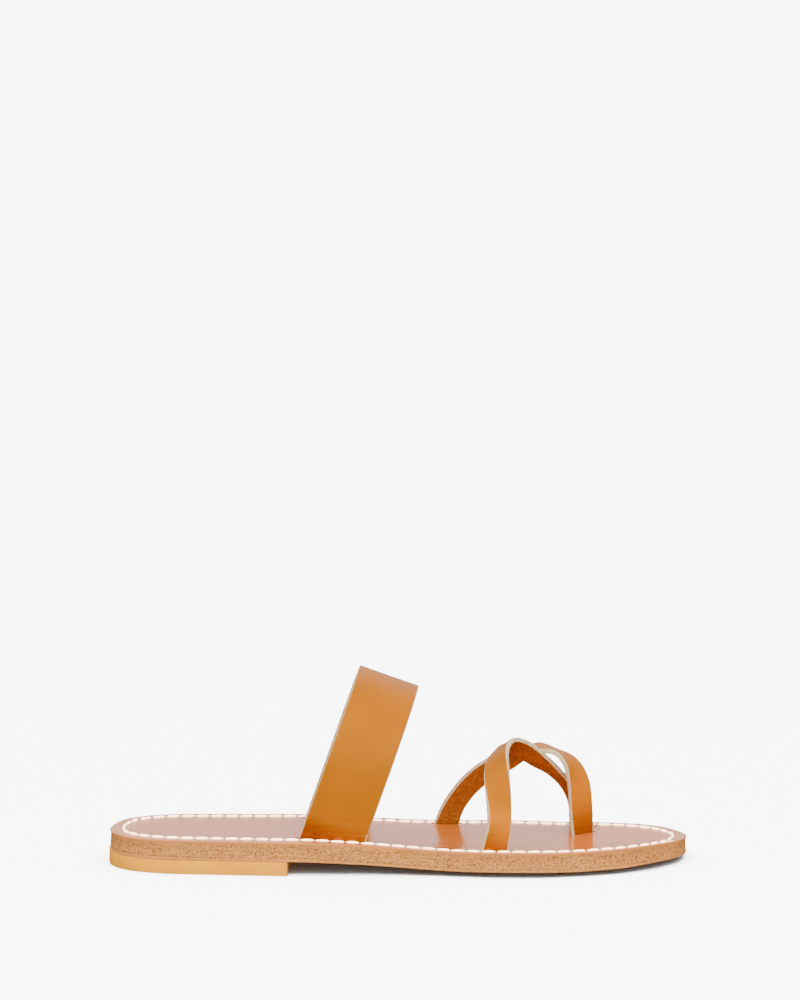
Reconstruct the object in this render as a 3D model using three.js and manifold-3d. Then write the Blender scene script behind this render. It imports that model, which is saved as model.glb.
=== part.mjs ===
// Flat leather slide sandal, right shoe, in millimetres.
// +X runs to the toe, +Z is up, -Y is the lateral (outer) side and +Y the medial side.
// The origin is on the floor, under the middle of the shoe.
import * as THREE from 'three';
import { mergeVertices } from 'three/addons/utils/BufferGeometryUtils.js';
import Module from 'manifold-3d';

// Sole: overall sizes
const soleLength = 250;
const lateralWidth = 38.8;
const medialWidth = 47.7;
const heelSeatHeight = 14.5;
const lateralCurl = 2.4;
const curlStart = -2;
const toeSpring = 1.2;

// Sole: layers, from the top down
const insoleThickness = 2.7;
const midsoleThickness = 4.0;
const outsoleThickness = 1.3;
const layerGap = 0.3;
const toeThinning = 1.2;
const toeThinningFrom = 0.88;
const topEdgeRound = 0.7;
const bottomEdgeRound = 0.5;
const roundMiddle = 0.3;
const sideHollow = 0.5;

// Heel lift under the back of the sole
const liftLength = 78;
const liftProud = 0.3;
const liftCornerRadius = 3;
const liftEdgeRound = 0.9;

// Straps
const instepWidth = 27;
const instepThickness = 2.0;
const instepLean = 19.5;
const instepArchHeight = 69.5;
const instepMedialAhead = 1.3;
const toeStrapWidth = 11;
const toeStrapThickness = 2.1;
const toeArchHeight = 42;
const strapCornerCut = 0.3;
const strapTail = 12;

// Slots in the insole that the straps pass through
const edgeToSlot = 8.4;
const slotClearance = 0.3;
const slotEndRoom = 0.8;

// Fineness of the facets
const soleStations = 46;
const soleColumns = 9;
const liftStations = 20;
const stepsPerRow = 4;
const soleCrowding = 0.6;
const liftCrowding = 0.75;

const soleStack = insoleThickness + midsoleThickness + outsoleThickness + 2 * layerGap;

// Plan of the sole: share of the length from the heel, then the lateral and medial
// edges as shares of the two widths, and the curl of the lateral edge as a share of
// lateralCurl.
const planRows = [
  { along: 0, lateral: -0.013, medial: 0.01, curl: 0 },
  { along: 0.0048, lateral: -0.211, medial: 0.197, curl: 0 },
  { along: 0.02, lateral: -0.41, medial: 0.407, curl: 0 },
  { along: 0.036, lateral: -0.528, medial: 0.497, curl: 0 },
  { along: 0.07, lateral: -0.66, medial: 0.6, curl: 0 },
  { along: 0.12, lateral: -0.747, medial: 0.65, curl: 0 },
  { along: 0.17, lateral: -0.781, medial: 0.656, curl: 0 },
  { along: 0.24, lateral: -0.822, medial: 0.65, curl: 0 },
  { along: 0.31, lateral: -0.861, medial: 0.652, curl: 0 },
  { along: 0.38, lateral: -0.856, medial: 0.677, curl: 0.12 },
  { along: 0.44, lateral: -0.843, medial: 0.734, curl: 0.33 },
  { along: 0.5, lateral: -0.856, medial: 0.83, curl: 0.58 },
  { along: 0.56, lateral: -0.894, medial: 0.918, curl: 0.79 },
  { along: 0.61, lateral: -0.943, medial: 0.975, curl: 0.94 },
  { along: 0.66, lateral: -0.985, medial: 1, curl: 1 },
  { along: 0.7, lateral: -1, medial: 0.99, curl: 1 },
  { along: 0.74, lateral: -0.99, medial: 0.956, curl: 0.96 },
  { along: 0.79, lateral: -0.943, medial: 0.914, curl: 0.92 },
  { along: 0.84, lateral: -0.856, medial: 0.884, curl: 0.92 },
  { along: 0.88, lateral: -0.755, medial: 0.843, curl: 0.88 },
  { along: 0.92, lateral: -0.6, medial: 0.757, curl: 0.79 },
  { along: 0.95, lateral: -0.438, medial: 0.654, curl: 0.63 },
  { along: 0.97, lateral: -0.294, medial: 0.545, curl: 0.42 },
  { along: 0.985, lateral: -0.149, medial: 0.411, curl: 0.25 },
  { along: 0.995, lateral: 0.026, medial: 0.289, curl: 0.08 },
  { along: 1, lateral: 0.168, medial: 0.189, curl: 0 },
];

// Side view of the insole's top: how much of the heel's rise is left, and how much
// of the toe spring has come.
const seatRows = [
  { along: 0, rise: 1, spring: 0 },
  { along: 0.31, rise: 1, spring: 0 },
  { along: 0.36, rise: 0.915, spring: 0 },
  { along: 0.42, rise: 0.712, spring: 0 },
  { along: 0.48, rise: 0.458, spring: 0 },
  { along: 0.54, rise: 0.203, spring: 0 },
  { along: 0.6, rise: 0.034, spring: 0 },
  { along: 0.64, rise: 0, spring: 0 },
  { along: 0.8, rise: 0, spring: 0 },
  { along: 0.88, rise: 0, spring: 0.25 },
  { along: 0.94, rise: 0, spring: 0.58 },
  { along: 1, rise: 0, spring: 1 },
];

// Arch of the instep strap, seen along its leaning plane: place between the lateral
// and the medial foot, and height as a share of instepArchHeight.
const instepRows = [
  { across: 0, rise: 0 },
  { across: -0.09, rise: 0.19 },
  { across: -0.155, rise: 0.385 },
  { across: -0.165, rise: 0.575 },
  { across: -0.08, rise: 0.77 },
  { across: 0.11, rise: 0.92 },
  { across: 0.37, rise: 0.995 },
  { across: 0.61, rise: 1 },
  { across: 0.87, rise: 0.94 },
  { across: 1.07, rise: 0.8 },
  { across: 1.155, rise: 0.615 },
  { across: 1.15, rise: 0.4 },
  { across: 1.085, rise: 0.19 },
  { across: 1, rise: 0 },
];

// Toe strap from the lateral edge to the medial edge: place between its two feet along
// and across the shoe, height as a share of toeArchHeight, and the direction that the
// smooth side of the leather faces.
const lateralToeRows = [
  { ahead: 0, across: 0, rise: 0, faceX: 0.197, faceY: -0.979, faceZ: -0.053 },
  { ahead: 0.048, across: 0.014, rise: 0.284, faceX: 0.48, faceY: -0.857, faceZ: 0.188 },
  { ahead: 0.044, across: 0.063, rise: 0.524, faceX: 0.25, faceY: -0.844, faceZ: 0.475 },
  { ahead: 0.031, across: 0.15, rise: 0.736, faceX: -0.265, faceY: -0.685, faceZ: 0.679 },
  { ahead: 0.044, across: 0.271, rise: 0.892, faceX: -0.615, faceY: -0.304, faceZ: 0.728 },
  { ahead: 0.115, across: 0.401, rise: 0.965, faceX: -0.616, faceY: 0.071, faceZ: 0.785 },
  { ahead: 0.227, across: 0.537, rise: 0.963, faceX: -0.196, faceY: 0.251, faceZ: 0.948 },
  { ahead: 0.348, across: 0.647, rise: 0.876, faceX: -0.064, faceY: 0.476, faceZ: 0.877 },
  { ahead: 0.52, across: 0.757, rise: 0.733, faceX: 0.148, faceY: 0.544, faceZ: 0.826 },
  { ahead: 0.692, across: 0.843, rise: 0.594, faceX: 0.482, faceY: 0.431, faceZ: 0.763 },
  { ahead: 0.852, across: 0.917, rise: 0.416, faceX: 0.687, faceY: 0.41, faceZ: 0.6 },
  { ahead: 0.952, across: 0.966, rise: 0.221, faceX: 0.718, faceY: 0.576, faceZ: 0.392 },
  { ahead: 1, across: 1, rise: 0, faceX: 0.364, faceY: 0.927, faceZ: 0.087 },
];

// Toe strap from the medial edge to the slot beside the big toe. It crosses over the
// other one. The columns are the same.
const medialToeRows = [
  { ahead: 0, across: 0, rise: 0, faceX: -0.334, faceY: 0.943, faceZ: 0.014 },
  { ahead: 0.046, across: 0.072, rise: 0.177, faceX: -0.408, faceY: 0.873, faceZ: 0.268 },
  { ahead: 0.147, across: 0.232, rise: 0.399, faceX: -0.313, faceY: 0.843, faceZ: 0.437 },
  { ahead: 0.27, across: 0.419, rise: 0.576, faceX: -0.109, faceY: 0.842, faceZ: 0.528 },
  { ahead: 0.425, across: 0.63, rise: 0.723, faceX: 0.105, faceY: 0.763, faceZ: 0.638 },
  { ahead: 0.566, across: 0.779, rise: 0.84, faceX: 0.164, faceY: 0.369, faceZ: 0.915 },
  { ahead: 0.653, across: 0.835, rise: 0.886, faceX: 0.208, faceY: -0.138, faceZ: 0.968 },
  { ahead: 0.809, across: 0.903, rise: 0.845, faceX: 0.406, faceY: 0.002, faceZ: 0.914 },
  { ahead: 0.908, across: 0.955, rise: 0.74, faceX: 0.506, faceY: -0.39, faceZ: 0.769 },
  { ahead: 0.969, across: 0.989, rise: 0.543, faceX: 0.446, faceY: -0.762, faceZ: 0.47 },
  { ahead: 0.989, across: 0.996, rise: 0.277, faceX: 0.437, faceY: -0.882, faceZ: 0.175 },
  { ahead: 1, across: 1, rise: 0, faceX: 0.583, faceY: -0.809, faceZ: -0.074 },
];

// Feet of the straps, as shares of the sole's length from the heel
const instepFootAlong = 0.386;
const lateralToeFootAlong = 0.6616;
const lateralToeEndAlong = 0.824;
const medialToeFootAlong = 0.584;
const toeSlotAlong = 0.8204;
const toeSlotFromMedial = 0.3;

// Smooth value of a table column at a place along the sole, without overshoot.
function columnAt(rows, column, along) {
  const last = rows.length - 1;
  let i = 0;
  while (i < last - 1 && rows[i + 1].along < along) {
    i += 1;
  }
  const slope = (k) => {
    const step = rows[k + 1].along - rows[k].along;
    return (rows[k + 1][column] - rows[k][column]) / step;
  };
  const tangent = (k) => {
    if (k === 0) {
      return slope(0);
    }
    if (k === last) {
      return slope(last - 1);
    }
    const before = slope(k - 1);
    const after = slope(k);
    return before * after <= 0 ? 0 : (2 * before * after) / (before + after);
  };
  const step = rows[i + 1].along - rows[i].along;
  const t = THREE.MathUtils.clamp((along - rows[i].along) / step, 0, 1);
  const t2 = t * t;
  const t3 = t2 * t;
  return (2 * t3 - 3 * t2 + 1) * rows[i][column]
    + (t3 - 2 * t2 + t) * step * tangent(i)
    + (3 * t2 - 2 * t3) * rows[i + 1][column]
    + (t3 - t2) * step * tangent(i + 1);
}

function lateralEdge(along) {
  return lateralWidth * columnAt(planRows, 'lateral', along);
}

function medialEdge(along) {
  return medialWidth * columnAt(planRows, 'medial', along);
}

// Y of the middle of the whole outline, which the origin lies under.
const middleY = (medialWidth - lateralWidth) / 2;

// Height of the insole's top at a place along and across the sole.
function topHeight(along, y) {
  const heelRise = heelSeatHeight - soleStack;
  const seat = soleStack
    + heelRise * columnAt(seatRows, 'rise', along)
    + toeSpring * columnAt(seatRows, 'spring', along);
  const edge = lateralEdge(along);
  if (y >= curlStart || edge >= curlStart) {
    return seat;
  }
  const reach = (curlStart - y) / (curlStart - edge);
  return seat + lateralCurl * columnAt(planRows, 'curl', along) * reach * reach;
}

// The layers thin a little towards the tip of the toe.
function layerScale(along) {
  const share = THREE.MathUtils.clamp((along - toeThinningFrom) / (1 - toeThinningFrom), 0, 1);
  return 1 - (toeThinning / soleStack) * share;
}

// How far the side wall lies inside the outline, at a depth below the top.
function wallInset(depth) {
  const down = Math.min(depth, soleStack);
  const hollow = sideHollow * Math.sin(Math.PI * down / soleStack);
  const fromTop = Math.max(0, 1 - down / topEdgeRound);
  const fromBottom = Math.max(0, 1 - (soleStack - down) / bottomEdgeRound);
  const roundTop = topEdgeRound * (1 - Math.sqrt(1 - fromTop * fromTop));
  const roundBottom = bottomEdgeRound * (1 - Math.sqrt(1 - fromBottom * fromBottom));
  return hollow + roundTop + roundBottom;
}

// A point of the sole: share along, share across from lateral to medial, inset from
// the outline, and depth below the insole's top.
function solePoint(along, across, inset, depth) {
  const lateral = lateralEdge(along);
  const medial = medialEdge(along);
  const half = (lateralWidth + medialWidth) / 2;
  const shrink = 1 - inset / half;
  const middle = (lateral + medial) / 2;
  const y = middle + (lateral + (medial - lateral) * across - middle) * shrink;
  const x = (along - 0.5) * (soleLength - 2 * inset);
  const z = topHeight(along, y) - depth * layerScale(along);
  return new THREE.Vector3(x, y - middleY, z);
}

// Closed geometry from sections with the same number of points each, capped at both
// ends with a fan about the middle.
function loft(sections) {
  const count = sections[0].length;
  const positions = [];
  sections.forEach((section) => section.forEach((p) => positions.push(p.x, p.y, p.z)));
  const index = [];
  for (let i = 0; i < sections.length - 1; i += 1) {
    for (let k = 0; k < count; k += 1) {
      const a = i * count + k;
      const b = i * count + (k + 1) % count;
      index.push(a, b, a + count, b, b + count, a + count);
    }
  }
  [0, sections.length - 1].forEach((i) => {
    const middle = new THREE.Vector3();
    sections[i].forEach((p) => middle.addScaledVector(p, 1 / count));
    const centre = positions.length / 3;
    positions.push(middle.x, middle.y, middle.z);
    for (let k = 0; k < count; k += 1) {
      const a = i * count + k;
      const b = i * count + (k + 1) % count;
      index.push(...(i === 0 ? [centre, b, a] : [centre, a, b]));
    }
  });
  const geometry = new THREE.BufferGeometry();
  geometry.setAttribute('position', new THREE.Float32BufferAttribute(positions, 3));
  geometry.setIndex(index);
  return geometry;
}

// Shares from 0 to 1 that crowd towards both ends, where the outline turns fastest.
function stationShares(count, crowding) {
  const shares = [];
  for (let i = 0; i < count; i += 1) {
    const t = i / (count - 1);
    const crowded = (1 - Math.cos(Math.PI * t)) / 2;
    shares.push(THREE.MathUtils.lerp(t, crowded, crowding));
  }
  return shares;
}

// One layer of the sole between two depths, with the depths of its side rows.
function soleLayer(depths) {
  const top = depths[0];
  const bottom = depths[depths.length - 1];
  const sections = stationShares(soleStations, soleCrowding).map((along) => {
    const section = [];
    for (let k = 0; k < soleColumns; k += 1) {
      section.push(solePoint(along, k / (soleColumns - 1), wallInset(top), top));
    }
    depths.slice(1, -1).forEach((d) => section.push(solePoint(along, 1, wallInset(d), d)));
    for (let k = soleColumns - 1; k >= 0; k -= 1) {
      section.push(solePoint(along, k / (soleColumns - 1), wallInset(bottom), bottom));
    }
    depths.slice(1, -1).reverse()
      .forEach((d) => section.push(solePoint(along, 0, wallInset(d), d)));
    return section.reverse();
  });
  return loft(sections);
}

// The heel lift: the heel's outline, slightly proud, flat below, with a straight front
// whose corners are rounded.
function heelLift() {
  const rows = [
    { up: 0, inset: liftEdgeRound },
    { up: roundMiddle * liftEdgeRound, inset: roundMiddle * liftEdgeRound },
    { up: liftEdgeRound, inset: 0 },
  ];
  const sections = [];
  const liftTop = heelSeatHeight - soleStack - layerGap;
  const liftPoint = (along, across, inset, z, corner) => {
    const point = solePoint(along, across, inset - liftProud, 0);
    const side = across * 2 - 1;
    return new THREE.Vector3(point.x, point.y - side * corner, z);
  };
  const frontShare = liftLength / soleLength;
  stationShares(liftStations, liftCrowding).forEach((share) => {
    const along = frontShare * share;
    const toFront = (frontShare - along) * soleLength;
    const turn = Math.max(0, 1 - toFront / liftCornerRadius);
    const corner = liftCornerRadius * (1 - Math.sqrt(1 - turn * turn));
    const section = [];
    rows.forEach((row) => section.push(liftPoint(along, 1, row.inset, row.up, corner)));
    section.push(liftPoint(along, 1, 0, liftTop, corner));
    section.push(liftPoint(along, 0, 0, liftTop, corner));
    rows.slice().reverse()
      .forEach((row) => section.push(liftPoint(along, 0, row.inset, row.up, corner)));
    sections.push(section);
  });
  return loft(sections);
}

// Slots stand this far inside the outline, and their feet rise from the insole's top.
function edgeFoot(along, side) {
  const y = side < 0 ? lateralEdge(along) + edgeToSlot : medialEdge(along) - edgeToSlot;
  return new THREE.Vector3((along - 0.5) * soleLength, y - middleY, topHeight(along, y));
}

function toeSlotFoot() {
  const medial = medialEdge(toeSlotAlong) - edgeToSlot;
  const lateral = lateralEdge(toeSlotAlong) + edgeToSlot;
  const y = medial + (lateral - medial) * toeSlotFromMedial;
  const x = (toeSlotAlong - 0.5) * soleLength;
  return new THREE.Vector3(x, y - middleY, topHeight(toeSlotAlong, y));
}

// Frames of a band: places on its middle line, the direction across its width, and the
// direction that its smooth side faces. Each end runs on straight into its slot.
function bandFrames(places, faces) {
  const path = new THREE.CatmullRomCurve3(places, false, 'centripetal');
  const facing = new THREE.CatmullRomCurve3(faces, false, 'catmullrom', 0.5);
  const steps = (places.length - 1) * stepsPerRow;
  const frames = [];
  for (let i = 0; i <= steps; i += 1) {
    const t = i / steps;
    const along = path.getTangent(t);
    const face = facing.getPoint(t);
    face.addScaledVector(along, -face.dot(along)).normalize();
    const width = new THREE.Vector3().crossVectors(along, face);
    frames.push({ place: path.getPoint(t), along, face, width });
  }
  const first = frames[0];
  const last = frames[frames.length - 1];
  const before = first.place.clone().addScaledVector(first.along, -strapTail);
  const after = last.place.clone().addScaledVector(last.along, strapTail);
  return [{ ...first, place: before }, ...frames, { ...last, place: after }];
}

// Band of leather with a rectangular section whose long edges are slightly cut back.
function band(frames, width, thickness) {
  const halfWidth = width / 2;
  const halfThickness = thickness / 2;
  const cut = strapCornerCut;
  const outline = [
    [cut - halfWidth, -halfThickness], [-halfWidth, cut - halfThickness],
    [-halfWidth, halfThickness - cut], [cut - halfWidth, halfThickness],
    [halfWidth - cut, halfThickness], [halfWidth, halfThickness - cut],
    [halfWidth, cut - halfThickness], [halfWidth - cut, -halfThickness],
  ];
  const sections = frames.map((frame) => outline.map(([across, out]) => frame.place.clone()
    .addScaledVector(frame.width, across)
    .addScaledVector(frame.face, out)));
  return loft(sections);
}

function instepFrames() {
  const lean = THREE.MathUtils.degToRad(instepLean);
  const upward = new THREE.Vector3(Math.sin(lean), 0, Math.cos(lean));
  const widthWay = new THREE.Vector3(Math.cos(lean), 0, -Math.sin(lean));
  const start = edgeFoot(instepFootAlong, -1);
  const end = edgeFoot(instepFootAlong, 1);
  end.x += instepMedialAhead;
  const places = instepRows.map((row) => start.clone().lerp(end, row.across)
    .addScaledVector(upward, row.rise * instepArchHeight));
  const path = new THREE.CatmullRomCurve3(places, false, 'centripetal');
  const faces = places.map((place, i) => {
    const along = path.getTangent(i / (places.length - 1));
    return new THREE.Vector3().crossVectors(widthWay, along).normalize();
  });
  return bandFrames(places, faces);
}

function toeFrames(rows, start, end) {
  const places = rows.map((row) => new THREE.Vector3(
    THREE.MathUtils.lerp(start.x, end.x, row.ahead),
    THREE.MathUtils.lerp(start.y, end.y, row.across),
    THREE.MathUtils.lerp(start.z, end.z, row.ahead) + row.rise * toeArchHeight,
  ));
  const faces = rows.map((row) => new THREE.Vector3(row.faceX, row.faceY, row.faceZ));
  return bandFrames(places, faces);
}

// Closed meshes to solids and back, for cutting and joining.
const wasm = await Module();
wasm.setup();

function toSolid(geometry) {
  const plain = geometry.clone();
  plain.deleteAttribute('normal');
  plain.deleteAttribute('uv');
  const merged = mergeVertices(plain, 1e-5);
  return new wasm.Manifold(new wasm.Mesh({
    numProp: 3,
    vertProperties: new Float32Array(merged.attributes.position.array),
    triVerts: new Uint32Array(merged.index.array),
  }));
}

function toGeometry(solid) {
  const mesh = solid.getMesh();
  const geometry = new THREE.BufferGeometry();
  const positions = new THREE.BufferAttribute(new Float32Array(mesh.vertProperties), 3);
  geometry.setAttribute('position', positions);
  geometry.setIndex(new THREE.BufferAttribute(new Uint32Array(mesh.triVerts), 1));
  return geometry;
}

const insoleBottom = insoleThickness;
const midsoleTop = insoleBottom + layerGap;
const midsoleBottom = midsoleTop + midsoleThickness;
const outsoleTop = midsoleBottom + layerGap;

const insoleBlank = soleLayer([0, roundMiddle * topEdgeRound, topEdgeRound, insoleBottom]);
const midsoleGeometry = soleLayer([midsoleTop, (midsoleTop + midsoleBottom) / 2, midsoleBottom]);
const outsoleGeometry = soleLayer([
  outsoleTop,
  soleStack - bottomEdgeRound,
  soleStack - roundMiddle * bottomEdgeRound,
  soleStack,
]);

const instepPath = instepFrames();
const lateralToePath = toeFrames(
  lateralToeRows,
  edgeFoot(lateralToeFootAlong, -1),
  edgeFoot(lateralToeEndAlong, 1),
);
const medialToePath = toeFrames(
  medialToeRows,
  edgeFoot(medialToeFootAlong, 1),
  toeSlotFoot(),
);

// The straps end level with the insole's underside, inside their slots.
const belowInsole = toSolid(soleLayer([insoleBottom, insoleBottom + 2 * heelSeatHeight]));

function slotCutter(frames, width, thickness) {
  const slotWidth = width + 2 * slotEndRoom;
  return toSolid(band(frames, slotWidth, thickness + 2 * slotClearance));
}

const insoleSolid = toSolid(insoleBlank)
  .subtract(slotCutter(instepPath, instepWidth, instepThickness))
  .subtract(slotCutter(lateralToePath, toeStrapWidth, toeStrapThickness))
  .subtract(slotCutter(medialToePath, toeStrapWidth, toeStrapThickness));

const instepSolid = toSolid(band(instepPath, instepWidth, instepThickness))
  .subtract(belowInsole);
const toeSolid = toSolid(band(lateralToePath, toeStrapWidth, toeStrapThickness))
  .add(toSolid(band(medialToePath, toeStrapWidth, toeStrapThickness)))
  .subtract(belowInsole);

const strapLeather = { color: 0xdc8a2d, roughness: 0.42, metalness: 0 };
const insoleLeather = { color: 0xcfa78a, roughness: 0.38, metalness: 0 };
const edgeLeather = { color: 0xcd9a66, roughness: 0.85, metalness: 0 };
const liftRubber = { color: 0xdcae74, roughness: 0.5, metalness: 0 };

function piece(name, geometry, finish) {
  const mesh = new THREE.Mesh(geometry, new THREE.MeshStandardMaterial(finish));
  mesh.name = name;
  return mesh;
}

const sandal = new THREE.Group();
sandal.add(
  piece('insole', toGeometry(insoleSolid), insoleLeather),
  piece('midsole', midsoleGeometry, edgeLeather),
  piece('outsole', outsoleGeometry, edgeLeather),
  piece('heel_lift', heelLift(), liftRubber),
  piece('instep_strap', toGeometry(instepSolid), strapLeather),
  piece('toe_straps', toGeometry(toeSolid), strapLeather),
);

export default sandal;
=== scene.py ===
import math
import random
from collections import namedtuple

import bpy
import numpy as np
from mathutils import Matrix, Vector
from mathutils.kdtree import KDTree


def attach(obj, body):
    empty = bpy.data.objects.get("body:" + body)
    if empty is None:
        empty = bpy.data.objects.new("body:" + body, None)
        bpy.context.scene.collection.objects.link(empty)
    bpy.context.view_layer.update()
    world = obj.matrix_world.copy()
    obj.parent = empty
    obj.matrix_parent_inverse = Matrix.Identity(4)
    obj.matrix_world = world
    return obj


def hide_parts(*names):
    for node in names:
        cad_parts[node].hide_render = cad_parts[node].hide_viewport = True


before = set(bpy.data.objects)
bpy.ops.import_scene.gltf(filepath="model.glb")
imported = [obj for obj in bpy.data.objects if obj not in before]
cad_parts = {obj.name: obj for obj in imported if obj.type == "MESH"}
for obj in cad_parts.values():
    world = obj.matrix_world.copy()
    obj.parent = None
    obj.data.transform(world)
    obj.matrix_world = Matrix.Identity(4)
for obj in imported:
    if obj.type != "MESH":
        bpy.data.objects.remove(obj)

bl_info = {
    "name": "Leather slide sandal",
    "version": (1, 0, 0),
    "blender": (4, 5, 0),
    "location": "View3D > Sidebar > Sandal",
    "description": "Dresses the solids of a right leather slide sandal",
    "category": "Object",
}

# The tables and functions here are in millimetres, as the solids were drawn.
MM = 0.001

SOLE_LENGTH = 250.0
LATERAL_WIDTH = 38.8
MEDIAL_WIDTH = 47.7
MIDDLE_Y = (MEDIAL_WIDTH - LATERAL_WIDTH) / 2
HEEL_SEAT_HEIGHT = 14.5
LATERAL_CURL = 2.4
CURL_START = -2.0
CURL_LIMIT = 1.2
TOE_SPRING = 1.2
SOLE_STACK = 8.6
INSOLE_DEPTH = 2.85
MIDSOLE_DEPTH = 7.15
TOE_THINNING = 1.2
TOE_THINNING_FROM = 0.88
TOP_EDGE_ROUND = 0.7
BOTTOM_EDGE_ROUND = 0.5
SIDE_HOLLOW = 0.5
INSTEP_LEAN = math.radians(19.5)
INSTEP_ARCH_HEIGHT = 69.5
INSTEP_MEDIAL_AHEAD = 1.3
TOE_ARCH_HEIGHT = 42.0
EDGE_TO_SLOT = 8.4
STRAP_TAIL = 12.0
STRAP_END_DEPTH = 2.3
SLOT_LONGER = 3.0
SLOT_WIDER = 0.9
CREASE_BOW = 1.2
LIFT_LENGTH = 78.0
LIFT_PROUD = 0.3
LIFT_GAP = 0.02
LIFT_CORNER = 3.0
LIFT_EDGE_ROUND = 0.7

# Where the upright corners of the lift are found.
CORNER_MARGIN = 0.8
CORNER_FROM_MIDDLE = 20.0
UPRIGHT_RISE = 4.0

# Depths of the rows of points down the side of each layer, and where a finish ends.
INSOLE_ROWS = [0, 0.04, 0.13, 0.27, 0.46, 0.7, 1.2, 1.8, 2.4, INSOLE_DEPTH]
MIDSOLE_ROWS = list(np.linspace(INSOLE_DEPTH, MIDSOLE_DEPTH, 7))
OUTSOLE_ROWS = [MIDSOLE_DEPTH, 7.5, 7.9, 8.1, 8.25, 8.4, 8.53, SOLE_STACK]
GLAZE_DEPTH = 0.5
UNDERSIDE_MARGIN = 0.05
FACES_DOWN = -0.5

# How finely the shapes are divided, and how far a strap's rows crowd towards its feet.
FINE_STATIONS = 4001
FINE_PLACES = 800
SOLE_STATIONS = 230
SOLE_COLUMNS = 30
LIFT_STATIONS = 110
LIFT_COLUMNS = 24
INSTEP_STEPS = 170
INSTEP_COLUMNS = 28
TOE_STEPS = 150
TOE_COLUMNS = 13
CUTTER_STEPS = 40
ROW_STATIONS = 1500
ROW_SMOOTHINGS = 60
FOOT_CROWDING = 0.6

# How a stitch lies: the slant is in degrees, the span in millimetres. The form of its
# thread is in shares of the thread's width.
STITCH_SEED = 7
STITCH_SPAN = 1.5
STITCH_SLANT = 3.5
SLANT_PLAY = 1.5
LENGTH_PLAY = (0.95, 1.03)
THICKNESS_PLAY = (0.93, 1.07)
THREAD_FLATNESS = 0.8
THREAD_RISE = 0.3
THREAD_DIP = 0.42

# The stage is in metres, watts and degrees, and the camera's film and lens in millimetres.
FLOOR_RADIUS = 9.6
BACKDROP_RADIUS = 9.8
CAMERA_PLACE = (0.00043, -1.3692, 0.28105)
CAMERA_DOWN = 5.2138
CAMERA = {"sensor_fit": "VERTICAL", "sensor_height": 36, "lens": 115.2, "clip_end": 200}
SUN_TILT = (14, -2, 0)
SUN_STRENGTH = 48
SUN_WIDTH = 75
ROOM_LIGHT = {"From Min": -0.12, "From Max": 0.45, "To Min": 0.15, "To Max": 1.75}
SoftBox = namedtuple("SoftBox", "name place size power")
SOFT_BOXES = (SoftBox("key", (-0.8, -1.0, 1.5), 1.0, 14),
              SoftBox("fill", (1.1, -1.0, 0.9), 1.2, 10),
              SoftBox("front", (0.1, -1.8, 0.3), 1.6, 38))
LAMPS_AIM = (0, 0, 0.03)


def table(names, rows):
    """Named columns from rows of numbers."""
    return dict(zip(names.split(), np.array(rows, float).T))


# Forms of the sole and the straps, as shares of the lengths, widths and heights above.
PLAN = table("along lateral medial curl", [
    (0, -0.013, 0.01, 0), (0.0048, -0.211, 0.197, 0), (0.02, -0.41, 0.407, 0),
    (0.036, -0.528, 0.497, 0), (0.07, -0.66, 0.6, 0), (0.12, -0.747, 0.65, 0),
    (0.17, -0.781, 0.656, 0), (0.24, -0.822, 0.65, 0), (0.31, -0.861, 0.652, 0),
    (0.38, -0.856, 0.677, 0.12), (0.44, -0.843, 0.734, 0.33), (0.5, -0.856, 0.83, 0.58),
    (0.56, -0.894, 0.918, 0.79), (0.61, -0.943, 0.975, 0.94), (0.66, -0.985, 1, 1),
    (0.7, -1, 0.99, 1), (0.74, -0.99, 0.956, 0.96), (0.79, -0.943, 0.914, 0.92),
    (0.84, -0.856, 0.884, 0.92), (0.88, -0.755, 0.843, 0.88), (0.92, -0.6, 0.757, 0.79),
    (0.95, -0.438, 0.654, 0.63), (0.97, -0.294, 0.545, 0.42), (0.985, -0.149, 0.411, 0.25),
    (0.995, 0.026, 0.289, 0.08), (1, 0.168, 0.189, 0),
])

SEAT = table("along rise spring", [
    (0, 1, 0), (0.31, 1, 0), (0.36, 0.915, 0), (0.42, 0.712, 0), (0.48, 0.458, 0),
    (0.54, 0.203, 0), (0.6, 0.034, 0), (0.64, 0, 0), (0.8, 0, 0), (0.88, 0, 0.25),
    (0.94, 0, 0.58), (1, 0, 1),
])

INSTEP = table("across rise", [
    (0, 0), (-0.09, 0.19), (-0.155, 0.385), (-0.165, 0.575), (-0.08, 0.77), (0.11, 0.92),
    (0.37, 0.995), (0.61, 1), (0.87, 0.94), (1.07, 0.8), (1.155, 0.615), (1.15, 0.4),
    (1.085, 0.19), (1, 0),
])

LATERAL_TOE = table("ahead across rise face_x face_y face_z", [
    (0, 0, 0, 0.197, -0.979, -0.053), (0.048, 0.014, 0.284, 0.48, -0.857, 0.188),
    (0.044, 0.063, 0.524, 0.25, -0.844, 0.475), (0.031, 0.15, 0.736, -0.265, -0.685, 0.679),
    (0.044, 0.271, 0.892, -0.615, -0.304, 0.728), (0.115, 0.401, 0.965, -0.616, 0.071, 0.785),
    (0.227, 0.537, 0.963, -0.196, 0.251, 0.948), (0.348, 0.647, 0.876, -0.064, 0.476, 0.877),
    (0.52, 0.757, 0.733, 0.148, 0.544, 0.826), (0.692, 0.843, 0.594, 0.482, 0.431, 0.763),
    (0.852, 0.917, 0.416, 0.687, 0.41, 0.6), (0.952, 0.966, 0.221, 0.718, 0.576, 0.392),
    (1, 1, 0, 0.364, 0.927, 0.087),
])

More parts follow.
